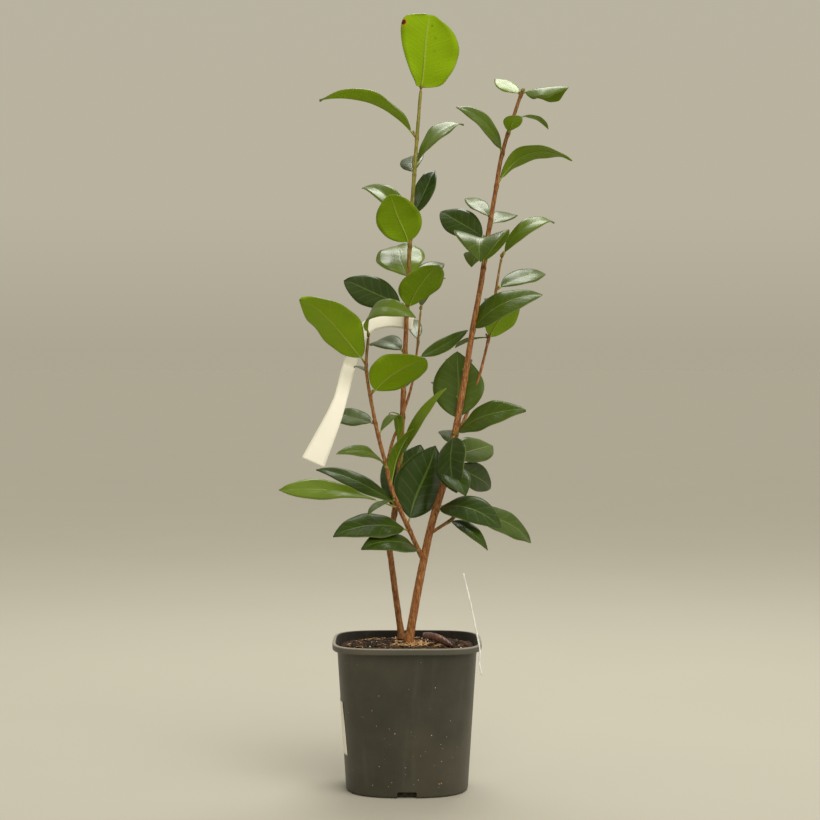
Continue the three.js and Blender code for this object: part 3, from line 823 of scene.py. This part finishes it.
class CamelliaColours(bpy.types.PropertyGroup):
    """Base colours of the shrub, its pot and the stage."""

    leaf_deep: colour("Old leaf", "Upper face of an old leaf", (0.022, 0.044, 0.003))
    leaf_young: colour("Young leaf", "Upper face of a young leaf", (0.16, 0.24, 0.006))
    leaf_vein: colour("Vein", "Veins of the upper face", (0.17, 0.24, 0.05))
    leaf_margin: colour("Margin", "A leaf's thin edge", (0.26, 0.31, 0.06))
    under_deep: colour("Old underside", "Underside of an old leaf", (0.062, 0.105, 0.005))
    under_young: colour("Young underside", "Underside of a young leaf", (0.3, 0.48, 0.001))
    under_vein: colour("Underside vein", "Veins of the underside", (0.38, 0.48, 0.06))
    bark_dark: colour("Dark bark", "Cracks and leaf scars", (0.05, 0.02, 0.01))
    bark_red: colour("Red bark", "Reddish brown bark", (0.24, 0.085, 0.027))
    bark_brown: colour("Brown bark", "Brown bark", (0.38, 0.17, 0.055))
    bark_pale: colour("Pale bark", "Pale flakes of bark", (0.56, 0.34, 0.14))
    shoot_green: colour("Green shoot", "Bark of a young shoot", (0.16, 0.18, 0.03))
    shoot_yellow: colour("Yellow shoot", "Paler bark of a young shoot", (0.42, 0.34, 0.08))
    pot_dark: colour("Pot", "Plastic of the pot", (0.033, 0.031, 0.021))
    pot_light: colour("Pot, worn", "Worn plastic of the pot", (0.064, 0.057, 0.037))
    pot_dust: colour("Dust", "Dust on the pot", (0.16, 0.15, 0.12))
    pot_edge: colour("Worn edge, highlight", "Worn top edge of the pot's rim, with a painted highlight", (0.42, 0.39, 0.31))
    pot_speck: colour("Specks", "Specks of lime on the pot", (0.75, 0.68, 0.52))
    soil_dark: colour("Wet soil", "Wet potting soil", (0.012, 0.008, 0.005))
    soil_brown: colour("Soil", "Potting soil", (0.05, 0.026, 0.013))
    soil_fibre: colour("Fibre", "Fibres in the soil", (0.2, 0.1, 0.045))
    dry_dark: colour("Dry leaf, dark", "Dark patches of the dry leaf", (0.04, 0.012, 0.007))
    dry_leaf: colour("Dry leaf", "The dry leaf", (0.095, 0.03, 0.016))
    dry_pale: colour("Dry leaf, pale", "Pale patches of the dry leaf", (0.3, 0.15, 0.1))
    label: colour("Label", "The blank labels", (0.92, 0.88, 0.76))
    label_aged: colour("Label, aged", "Aged patches of the labels", (0.84, 0.79, 0.64))
    floor: colour("Floor", "The stage's floor", (0.41, 0.39, 0.33))
    horizon: colour("Horizon", "The stage's air where it meets the floor", (0.413, 0.378, 0.288))
    backdrop: colour("Backdrop", "The stage's air behind the shrub", (0.48, 0.445, 0.345))


class CamelliaSizes(bpy.types.PropertyGroup):
    """Sizes of the fine shapes."""

    leaf_thickness: length("Leaf thickness", "Least thickness of a blade", 0.00045)
    petiole_radius: length("Petiole radius", "Radius of a leaf's stalk at its foot", 0.00105)
    bark_relief: length("Bark relief", "Depth of the bark's ridges", 0.00018)
    node_swelling: length("Node swelling", "How far a stem swells under a leaf", 0.00055)
    label_thickness: length("Tag thickness", "Thickness of the hang tag", 0.0007)
    pot_fillet: length("Pot rounding", "Rounding of the pot's edges", 0.0012)
    soil_relief: length("Soil relief", "Height of the soil's lumps", 0.0016)
    camera_distance: length("Camera distance", "From the camera to the pot", 2.1)
    camera_height: length("Camera height", "Height of the camera", 0.415)


def sizes():
    return bpy.context.scene.camellia_sizes


# The pot and its soil ----------

FOOT_WIDTH, NECK_WIDTH, NECK = 0.115, 0.131, 0.134  # Widths at the foot and under the rim, and the rim's foot
RIM_REACH, RIM_TOP, RIM_WALL = 0.07, 0.14, 0.0034
WALL, FLOOR, FOOT_ROUNDING = 0.0018, 0.003, 0.0015
RINGS = (0.0015, 0.0045, 0.0075, 0.009, 0.0115, 0.02, 0.04, 0.07, 0.1, 0.125)
SLOT_SIZE, SLOT_ROUNDING = (0.018, 0.014, 0.012), 0.0012
SOIL_REACH, SOIL_FOOT, SOIL_DIP = 0.0655, 0.0033, 0.003
CROWN, LITTER = 0.058, (0.006, -0.004)  # How far crumbs lie, and where the stems' litter gathers

# Specks of lime and clay on the pot's front: place across, height, size and paleness
SPECKS = (
    (-11, 60.7, 0.75, 1), (22.6, 59.1, 0.5, 0.9), (36.6, 57.3, 0.55, 0.9), (-32.3, 82, 0.55, 0.9),
    (-28.1, 67.8, 0.4, 0.8), (26.1, 103.5, 0.5, 0.9), (1.6, 102, 0.35, 0.7), (13, 127, 0.4, 0.8),
    (-25.6, 29.8, 0.5, 0.8), (31.8, 34.4, 0.5, 0.8), (10.5, 17.5, 0.45, 0.8), (-1.1, 22.7, 0.35, 0.7),
    (-31.6, 11.8, 0.5, 0.8), (3.9, 62.3, 0.35, 0.7), (31.3, 13.6, 1.3, 0.35), (29.5, 13.2, 0.8, 0.6),
    (-21, 56, 0.35, 0.7), (17, 44, 0.35, 0.7), (-14, 15, 0.4, 0.7), (40, 72, 0.35, 0.7),
)


def lump(bm, chance, place, size, shade=None):
    """A small uneven grain with a tone from 0 to 1."""
    tone = bm.verts.layers.float["tone"]
    ball = bmesh.ops.create_icosphere(bm, subdivisions=1, radius=1)["verts"]
    shade = chance.random() if shade is None else shade
    spin, lean = chance.uniform(0, math.tau), chance.uniform(-0.5, 0.5)
    turn = Matrix.Rotation(spin, 3, "Z") @ Matrix.Rotation(lean, 3, "Y")
    for corner in ball:
        rough = 1 + 0.35 * noise.noise(corner.co * 1.7 + place * 900)
        corner.co = place + turn @ (Vector(size) * rough * corner.co)
        corner[tone] = shade


def grit(name, bm, dark, pale, scale):
    piece(name, bm, [crumb_finish(name.replace("_", " "), dark, pale, scale)])


def squareness(height):
    return blend(2.6, 4.0, height / POT_HEIGHT)


def stretch(angle, height):
    """How far the pot's rounded square reaches at an angle, beside its half width."""
    power = squareness(height)
    return (abs(math.cos(angle)) ** power + abs(math.sin(angle)) ** power) ** (-1 / power)


def squared(co):
    """Presses a round ring into the pot's rounded square."""
    angle = math.atan2(co.y, co.x)
    return polar(math.hypot(co.x, co.y) * stretch(angle, co.z), angle, co.z)


def rounded(profile, radius, steps=4):
    """A turned profile with its corners rounded, apart from its first and last points."""
    points = [profile[0]]
    for before, here, after in zip(profile, profile[1:], profile[2:]):
        back, ahead = before - here, after - here
        reach = min(radius, back.length * 0.45, ahead.length * 0.45)
        first, last = here + back.normalized() * reach, here + ahead.normalized() * reach
        for step in range(steps + 1):
            share = step / steps
            points.append(first.lerp(here, share).lerp(here.lerp(last, share), share))
    return [*points, profile[-1]]


def turned(bm, profile, steps):
    """Spins a profile of (half width, height) into a closed shell."""
    corners = [bm.verts.new((point.x, 0, point.y)) for point in profile]
    edges = [bm.edges.new(pair) for pair in zip(corners, corners[1:])]
    bmesh.ops.spin(
        bm, geom=corners + edges, cent=(0, 0, 0), axis=(0, 0, 1), angle=math.tau, steps=steps, use_merge=True,
        use_duplicate=False,
    )
    bmesh.ops.remove_doubles(bm, verts=bm.verts, dist=1e-6)


def pot_width(height):
    return blend(FOOT_WIDTH, NECK_WIDTH, height / NECK)


def on_wall(angle, height, off=0.0):
    """A place on the pot's outside, or a little off it."""
    return polar(pot_width(height) / 2 * stretch(angle, height) + off, angle, height)


def pot_profile():
    profile = [(0, 0), (FOOT_WIDTH / 2 - FOOT_ROUNDING, 0)]
    profile += [(pot_width(height) / 2, height) for height in (*RINGS, NECK)]
    profile += [(RIM_REACH, NECK), (RIM_REACH, RIM_TOP), (RIM_REACH - RIM_WALL, RIM_TOP)]
    profile += [(pot_width(height) / 2 - WALL, height) for height in (0.13, 0.09, 0.05, FLOOR)]
    return rounded([Vector(point) for point in (*profile, (0, FLOOR))], sizes().pot_fillet)


def slot_cutter():
    """Four rounded blocks that cut the drain slots into the pot's foot."""
    bm = bmesh.new()
    for quarter in range(4):
        block = bmesh.ops.create_cube(bm, size=1)["verts"]
        bmesh.ops.scale(bm, verts=block, vec=SLOT_SIZE)
        bmesh.ops.translate(bm, verts=block, vec=(0, -FOOT_WIDTH / 2, 0))
        bmesh.ops.rotate(bm, verts=block, matrix=Matrix.Rotation(quarter * math.pi / 2, 3, "Z"))
    bmesh.ops.bevel(
        bm, geom=bm.edges, offset=SLOT_ROUNDING, segments=3, profile=0.5, affect="EDGES", material=-1,
    )
    return shown("drain slots", finished_mesh("drain slots", bm))


class CAMELLIA_OT_pot(bpy.types.Operator):
    """Mould the rounded square pot, with its rim, drain slots and specks of lime"""

    bl_idname = "camellia.pot"
    bl_label = "Pot"

    def execute(self, context):
        bm = new_mesh()
        turned(bm, pot_profile(), POT_AROUND)
        bmesh.ops.recalc_face_normals(bm, faces=bm.faces)
        # Faces that look inwards take the inside finish, which holds painted shade.
        for face in bm.faces:
            if face.normal.xy.dot(face.calc_center_median().xy) < -0.01:
                face.material_index = 1
        for corner in bm.verts:
            corner.co = squared(corner.co)
        pot = piece("pot_shell", bm, [pot_finish(), stained_and_shaded_finish()], ["pot"])
        cutter = slot_cutter()
        cut = pot.modifiers.new("drain slots", "BOOLEAN")
        cut.operation, cut.object, cut.solver = "DIFFERENCE", cutter, "EXACT"
        mesh = bpy.data.meshes.new_from_object(pot.evaluated_get(context.evaluated_depsgraph_get()))
        pot.modifiers.clear()
        pot.data = mesh
        bpy.data.objects.remove(cutter)
        mesh.set_sharp_from_angle(angle=math.radians(32))
        if len(mesh.polygons) < 1000:
            raise RuntimeError("the drain slots left no pot")
        self.specks()
        return {"FINISHED"}

    @staticmethod
    def specks():
        bm = new_mesh("tone")
        chance = random.Random("specks")
        for across, height, size, pale in SPECKS:
            half = pot_width(height * MM) / 2
            power = squareness(height * MM)
            front = -half * (1 - abs(across * MM / half) ** power) ** (1 / power)
            place = Vector((across * MM, front, height * MM))
            lump(bm, chance, place, (size * MM, 0.0003, size * 0.7 * MM), pale)
        for _ in range(90):
            place = on_wall(chance.uniform(0, math.tau), chance.uniform(0.008, 0.13))
            lump(bm, chance, place, [chance.uniform(0.00012, 0.00036)] * 3)
        grit("lime_specks", bm, (0.42, 0.19, 0.07), "pot_speck", 800)


def soil_height(reach):
    """The height of the mounded soil at a distance from its middle."""
    return SOIL_TOP * MM - SOIL_DIP * (reach / SOIL_REACH) ** 4


def scattered(count, seed):
    """Places on the soil, kept inside the pot's rounded square."""
    chance = random.Random(seed)
    for _ in range(count):
        angle = chance.uniform(0, math.tau)
        off = CROWN * math.sqrt(chance.random()) * stretch(angle, 0.13) * 0.98
        yield chance, polar(off, angle, soil_height(min(off, SOIL_REACH)))


class CAMELLIA_OT_soil(bpy.types.Operator):
    """Fill the pot with potting soil, crumbs, wood and white grains"""

    bl_idname = "camellia.soil"
    bl_label = "Soil"

    def execute(self, context):
        bm = new_mesh()
        reaches = [0.0628 * ring / SOIL_RINGS for ring in range(SOIL_RINGS, -1, -1)]
        inner = [Vector((reach, soil_height(reach))) for reach in reaches]
        low = Vector((pot_width(SOIL_FOOT) / 2 - 0.0025, SOIL_FOOT))
        turned(bm, [Vector((0, SOIL_FOOT)), low, *inner], SOIL_AROUND)
        for corner in bm.verts:
            if corner.co.z > 0.12:
                away = noise.fractal(corner.co * 160, 0.6, 2.1, 4) + 0.6 * noise.noise(corner.co * 45)
                fade = 1 - smooth_step(0.055, 0.0625, math.hypot(corner.co.x, corner.co.y)) * 0.4
                corner.co.z += sizes().soil_relief * away * fade - 0.0004
            corner.co = squared(corner.co)
        piece("soil_bed", bm, [soil_finish()], ["soil"])
        self.crumbs()
        return {"FINISHED"}

    @staticmethod
    def crumbs():
        lumps, grains, slivers = (new_mesh("tone") for _ in range(3))
        for chance, place in scattered(900, "lumps"):
            size = chance.uniform(0.0006, 0.0021)
            lump(lumps, chance, place, (size, size * chance.uniform(0.6, 1), size * chance.uniform(0.4, 0.8)))
        for chance, place in scattered(26, "grains"):
            size = chance.uniform(0.0005, 0.0012)
            lump(grains, chance, place + Vector((0, 0, 0.0006)), (size, size * 0.85, size * 0.8))
        for chance, place in scattered(170, "slivers"):
            long = chance.uniform(0.002, 0.0065)
            # Slivers right of the stems are kept dark: painted shade on that side of the soil.
            pale = chance.random() * (0.4 if place.x > 0.018 else 1.0)
            lump(slivers, chance, place + Vector((0, 0, 0.0007)), (long, long * 0.16, long * 0.09), pale)
        for number in range(90):
            chance = random.Random(f"litter {number}")
            angle, off = chance.uniform(0, math.tau), abs(chance.gauss(0, 0.012))
            across, deep = off * math.cos(angle), off * 0.8 * math.sin(angle)
            place = Vector((LITTER[0] + across, LITTER[1] + deep, SOIL_TOP * MM + 0.001))
            long = chance.uniform(0.003, 0.008)
            lump(slivers, chance, place, (long, long * 0.14, long * 0.1), chance.uniform(0.7, 1))
        grit("soil_crumbs", lumps, "soil_dark", "soil_brown", 600)
        grit("white_grains", grains, (0.45, 0.42, 0.36), (0.85, 0.83, 0.78), 900)
        grit("wood_slivers", slivers, (0.12, 0.05, 0.02), (0.55, 0.33, 0.15), 500)


# Trim ----------

DRY_LEAF_START, DRY_LEAF_WALL = (16, 20, SOIL_TOP + 8), 0.0006
TAG_WIDE, TAG_NARROW = 0.023, 0.0125
TAG = measured(
    (-87, -36, 309), (-64, -24, 362), (-54, -4, 400), (-45, -1, 425), (-36, 1, 436), (-25, 4, 440),
    (-13, 8, 441), (5.5, 8.7, 438),
)
LABEL_ANGLES, LABEL_HEIGHTS, LABEL_WALL = (148, 212), (0.036, 0.086), 0.00025
STRIP_WIDTH, STRIP_WALL = 0.0015, 0.0005
STRIP = measured(
    (69, -48.3, 113), (67, -48, 124), (67.2, -47.6, 137), (65.2, -46.8, 148), (59, -45, 178), (52, -45, 207),
)


class CAMELLIA_OT_dry_leaf(bpy.types.Operator):
    """Lay the dry curled leaf on the soil"""

    bl_idname = "camellia.dry_leaf"
    bl_label = "Dry leaf"

    def execute(self, context):
        bm = new_mesh("seed")
        blade = Blade(leaf(0, (27, -40, -7), 15, 0, 4), Vector(DRY_LEAF_START) * MM, "dry leaf")

        def curled(x, y):
            centre, direction = blade.rib(y)
            out = direction.cross(blade.side)
            roll = 0.0062 * (1 - 0.7 * y) * smooth_step(-0.04, 0.16, y) * min(1.0, 0.05 + (1 - y) * 9)
            angle = x * (1.45 + 0.5 * y) + 0.1 * math.sin(5 * y)
            uneven = 0.0003 * noise.noise(Vector((x * 2, y * 6, 4)))
            lift = roll * (math.cos(angle) - 1) + uneven
            return centre + blade.side * (roll * math.sin(angle)) + out * lift

        thicken(bm, sheet(bm, 20, 60, curled, seed=3.0), DRY_LEAF_WALL)
        piece("dry_leaf_curl", bm, [dry_leaf_finish()], ["dry_leaf"])
        return {"FINISHED"}


def band(points, width, thickness, steps, across=6, cup=0.0):
    """A flat strip along a line, its broad side towards the front, with a slight cup."""
    line = smooth_line(points)

    def place(x, y):
        here, direction = line(y)
        back = Vector((0, 1, 0)) - direction * direction.y
        back.normalize()
        side = back.cross(direction)
        return here + side * (width(y) / 2 * x) + back * (cup * x * x)

    bm = new_mesh()
    thicken(bm, sheet(bm, across, steps, place), thickness)
    return bm


def smooth_line(points):
    """A line through points, with its direction, at even steps of its length."""
    places = [curve_point(points, n / 400) for n in range(401)]
    reached = [0.0]
    for first, second in zip(places, places[1:]):
        reached.append(reached[-1] + (second - first).length)

    def line(share):
        target = share * reached[-1]
        low = max(n for n in range(len(reached) - 1) if reached[n] <= target + 1e-12)
        step = min(1.0, (target - reached[low]) / (reached[low + 1] - reached[low]))
        return places[low].lerp(places[low + 1], step), (places[low + 1] - places[low]).normalized()

    return line


class CAMELLIA_OT_labels(bpy.types.Operator):
    """Hang the blank tag, and set the blank label and the clear strip on the pot"""

    bl_idname = "camellia.labels"
    bl_label = "Tag, label and strip"

    def execute(self, context):
        def tag_width(y):
            return blend(TAG_WIDE, TAG_NARROW, min(1, y / 0.35))

        def on_pot(x, y):
            off = 0.0004 + 0.0005 * smooth_step(0.9, 1.0, abs(x)) * smooth_step(0.5, 1.0, y)
            return on_wall(math.radians(blend(*LABEL_ANGLES, (x + 1) / 2)), blend(*LABEL_HEIGHTS, y), off)

        bm = band(TAG, tag_width, sizes().label_thickness, 120, cup=0.0006)
        piece("tag_band", bm, [label_finish("blank tag")], ["hang_tag"])
        bm = new_mesh()
        thicken(bm, sheet(bm, 40, 20, on_pot), LABEL_WALL)
        piece("pot_label", bm, [label_finish("blank label")], ["side_label"])
        bm = band(STRIP, lambda y: STRIP_WIDTH, STRIP_WALL, 60, across=2)
        piece("clear_band", bm, [clear_finish()], ["clear_strip"])
        return {"FINISHED"}


# The shrub ----------


class CAMELLIA_OT_limbs(bpy.types.Operator):
    """Grow the stems and boughs, with bark, swollen nodes and leaf scars"""

    bl_idname = "camellia.limbs"
    bl_label = "Stems and boughs"

    def execute(self, context):
        bm = new_mesh("green", "scar")
        for name, shoot in SHOOTS.items():
            self.limb(bm, shoot, [form["at"] * MM for form in LEAVES[name]])
        piece("stems_and_boughs", bm, [bark_finish()], LIMBS)
        return {"FINISHED"}

    @staticmethod
    def limb(bm, shoot, nodes):
        relief, swelling = sizes().bark_relief, sizes().node_swelling
        rooted = shoot.low < RIM_TOP
        steps = max(12, int((shoot.high - shoot.low) / LIMB_STEP))

        def near_nodes(height, width):
            return min(1.0, sum(bell(height - node, width) for node in nodes))

        def radius(share, angle):
            height = curve_point(shoot.points, share).z
            size = shoot.radius(height)
            if rooted:
                size *= 1 + 0.3 * math.exp(-(height - shoot.low) / FLARE_HEIGHT)
                flute = math.exp(-(height - shoot.low) / FLUTE_HEIGHT) * math.sin(3 * angle + shoot.low)
                size += FLUTE_DEPTH * flute
            size += swelling * near_nodes(height, NODE_WIDTH) * (0.7 + 0.3 * math.cos(angle))
            ridges = noise.noise(polar(2.5, angle, height * 160)) * 1.2
            size += relief * (ridges + noise.noise(polar(6, angle, height * 45)))
            return size * min(1.0, math.sqrt((1 - share) * steps / 2.5))

        def green(x, y):
            height = curve_point(shoot.points, y).z / MM
            return smooth_step(shoot.green_from, shoot.green_to, height)

        def scar(x, y):
            return near_nodes(curve_point(shoot.points, y).z - SCAR_RISE, SCAR_WIDTH)

        tube(bm, LIMB_AROUND, steps, shoot.line, radius, green=green, scar=scar)


class CAMELLIA_OT_leaves(bpy.types.Operator):
    """Grow the leaf blades, with toothed edges, folds and ripples"""

    bl_idname = "camellia.leaves"
    bl_label = "Leaves"

    def execute(self, context):
        finishes = [leaf_upper(), leaf_under()]
        for name, shoots, masses in SIDES:
            self.grow(name, shoots, masses, finishes)
        return {"FINISHED"}

    @staticmethod
    def grow(name, shoots, masses, finishes):
        bm = new_mesh("seed", "shade", "marks")
        for shoot, blade in blades():
            if shoot not in shoots:
                continue
            fewest, most = LEAF_STATIONS
            stations = max(fewest, min(most, round(blade.length / LEAF_STEP)))
            underside = sheet(
                bm, LEAF_ACROSS, stations, lambda x, y: blade.place(x, y, stations), seed=blade.seed,
                shade=blade.form["shade"], marks=1.0 if blade.form["edges"] else 0.0,
            )
            thicken(bm, underside, blade.thickness)
            for face in underside:
                face.material_index = 1
        piece(name, bm, finishes, masses, weld=1e-7)


class CAMELLIA_OT_petioles(bpy.types.Operator):
    """Grow the leaf stalks and raised midribs, and the buds beside them"""

    bl_idname = "camellia.petioles"
    bl_label = "Petioles and buds"

    def execute(self, context):
        stalks, buds = new_mesh("shade", "age"), new_mesh()
        for number, (_, blade) in enumerate(blades()):
            self.stalk(stalks, blade)
            chance = random.Random(f"bud {number}")
            if chance.random() < 0.6:
                place, direction = blade.rib(0.035)
                upwards = (direction + Vector((0, 0, 1.6))).normalized()
                self.bud(buds, place + upwards * 0.001, upwards, chance.uniform(0.0028, 0.0048), 0.0012)
        for shoot in SHOOTS.values():
            place, direction = shoot.line(1.0)
            self.bud(buds, place - direction * 0.001, direction, 0.0052, 0.0019)
        piece("petioles", stalks, [petiole_finish()])
        piece("leaf_buds", buds, [bud_finish()])
        return {"FINISHED"}

    @staticmethod
    def stalk(bm, blade):
        foot = sizes().petiole_radius * min(1.0, 0.45 + blade.length / 0.12)
        petiole = blade.form["petiole"]

        def line(share):
            place, direction = blade.rib(share * RIB_END)
            y = (share * RIB_END - petiole) / (1 - petiole)
            if y > 0:
                proud = 0.35 * MM * (1 - share) * smooth_step(0, 0.15, y)
                place = blade.place(0.0, y, 1) - blade.turned(y)[2] * proud
            return place, direction

        def radius(share, angle):
            return foot * (1 - smooth_step(0.0, 0.22, share) * 0.45) * (1 - share) ** 0.55

        def age(x, y):
            return smooth_step(0.02, 0.12, y)

        tube(bm, STALK_AROUND, STALK_STATIONS, line, radius, shade=blade.form["shade"], age=age)

    @staticmethod
    def bud(bm, place, direction, long, thick):
        def radius(share, angle):
            plump = math.sin(math.pi * min(1.0, share * 0.94 + 0.06)) ** 0.7 * (1 - 0.35 * share)
            return thick * plump * (1 + 0.08 * math.sin(14 * share + 2 * angle))

        def line(share):
            return place + direction * (long * share), direction

        tube(bm, STALK_AROUND, BUD_STATIONS, line, radius)


# The stage ----------

MIDDLE = (0.01, 0, 0.35)  # Where the lamps look
FOCAL_PIXELS, FRAME_PIXELS = 2229, 820  # The photograph's focal length and width
CAMERA_X, CAMERA_DOWN, SENSOR = 0.0028, 1.59, 36  # Metres, degrees and millimetres


class CAMELLIA_OT_stage(bpy.types.Operator):
    """Set the floor, the soft lights and the camera"""

    bl_idname = "camellia.stage"
    bl_label = "Stage"

    def execute(self, context):
        scene = context.scene
        bm = bmesh.new()
        bmesh.ops.create_grid(bm, x_segments=8, y_segments=8, size=40)
        floor = shown("floor", finished_mesh("floor", bm))
        floor.data.materials.append(floor_finish())
        floor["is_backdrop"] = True
        self.air(scene)
        key = self.lamp("key light", "SUN", (0.35, -0.8, 1.0), (0, 0, 0), 2.0, (1.0, 0.97, 0.9), angle=0.75)
        key.visible_glossy = False
        square = {"shape": "SQUARE", "size": 0.9}
        self.lamp("top light", "AREA", (0.15, 0.8, 1.9), MIDDLE, 22, (1.0, 0.98, 0.92), **square)
        self.lamp("side light", "AREA", (1.7, -0.7, 0.9), MIDDLE, 6, (1.0, 0.98, 0.94), **square)
        self.camera(scene)
        scene.view_settings.view_transform = "Standard"
        return {"FINISHED"}

    @staticmethod
    def lamp(name, kind, place, towards, power, tint, **settings):
        lamp = bpy.data.lights.new(name, kind)
        lamp.energy, lamp.color = power, tint
        for key, setting in settings.items():
            setattr(lamp, key, setting)
        holder = shown(name, lamp)
        holder.location = place
        holder.rotation_euler = (Vector(place) - Vector(towards)).to_track_quat("Z", "Y").to_euler()
        return holder

    @staticmethod
    def air(scene):
        scene.world = bpy.data.worlds.new("soft air")
        nodes = Nodes(scene.world)
        view = nodes.node("ShaderNodeTexCoord", output="Generated")
        height = nodes.node("ShaderNodeSeparateXYZ", {}, {0: view}, 2)
        tone = nodes.ramp(height, (0, "horizon"), (0.06, "backdrop"), (0.75, (0.5, 0.475, 0.4)))
        nodes.feed(nodes.tree.nodes["Background"], {"Color": tone, "Strength": 1.0})

    @staticmethod
    def camera(scene):
        lens = bpy.data.cameras.new("camera")
        lens.sensor_width, lens.lens = SENSOR, FOCAL_PIXELS / FRAME_PIXELS * SENSOR
        scene.camera = shown("camera", lens)
        scene.camera.location = (CAMERA_X, -sizes().camera_distance, sizes().camera_height)
        scene.camera.rotation_euler = (math.radians(90 - CAMERA_DOWN), 0, 0)


class CAMELLIA_PT_panel(bpy.types.Panel):
    """Lists the shrub's pieces"""

    bl_idname = "CAMELLIA_PT_panel"
    bl_label = "Potted camellia"
    bl_space_type = "VIEW_3D"
    bl_region_type = "UI"
    bl_category = "Camellia"

    def draw(self, context):
        for operator in OPERATORS:
            self.layout.operator(operator.bl_idname)
        for group in (context.scene.camellia_sizes, context.scene.camellia_colours):
            column = self.layout.column(align=True)
            for name in group.__annotations__:
                column.prop(group, name)


OPERATORS = (
    CAMELLIA_OT_pot, CAMELLIA_OT_soil, CAMELLIA_OT_dry_leaf, CAMELLIA_OT_labels, CAMELLIA_OT_limbs,
    CAMELLIA_OT_leaves, CAMELLIA_OT_petioles, CAMELLIA_OT_stage,
)
CLASSES = (CamelliaColours, CamelliaSizes, *OPERATORS, CAMELLIA_PT_panel)


def register():
    for item in CLASSES:
        bpy.utils.register_class(item)
    bpy.types.Scene.camellia_colours = bpy.props.PointerProperty(type=CamelliaColours)
    bpy.types.Scene.camellia_sizes = bpy.props.PointerProperty(type=CamelliaSizes)


def unregister():
    del bpy.types.Scene.camellia_sizes
    del bpy.types.Scene.camellia_colours
    for item in reversed(CLASSES):
        bpy.utils.unregister_class(item)


def main():
    register()
    for operator in OPERATORS:
        getattr(bpy.ops.camellia, operator.bl_idname.split(".")[1])()
    boxes = {"cad": CAD_BOX, "visual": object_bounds()}
    plain = {name: [list(corner) for corner in box] for name, box in boxes.items()}


if __name__ == "__main__":
    main()
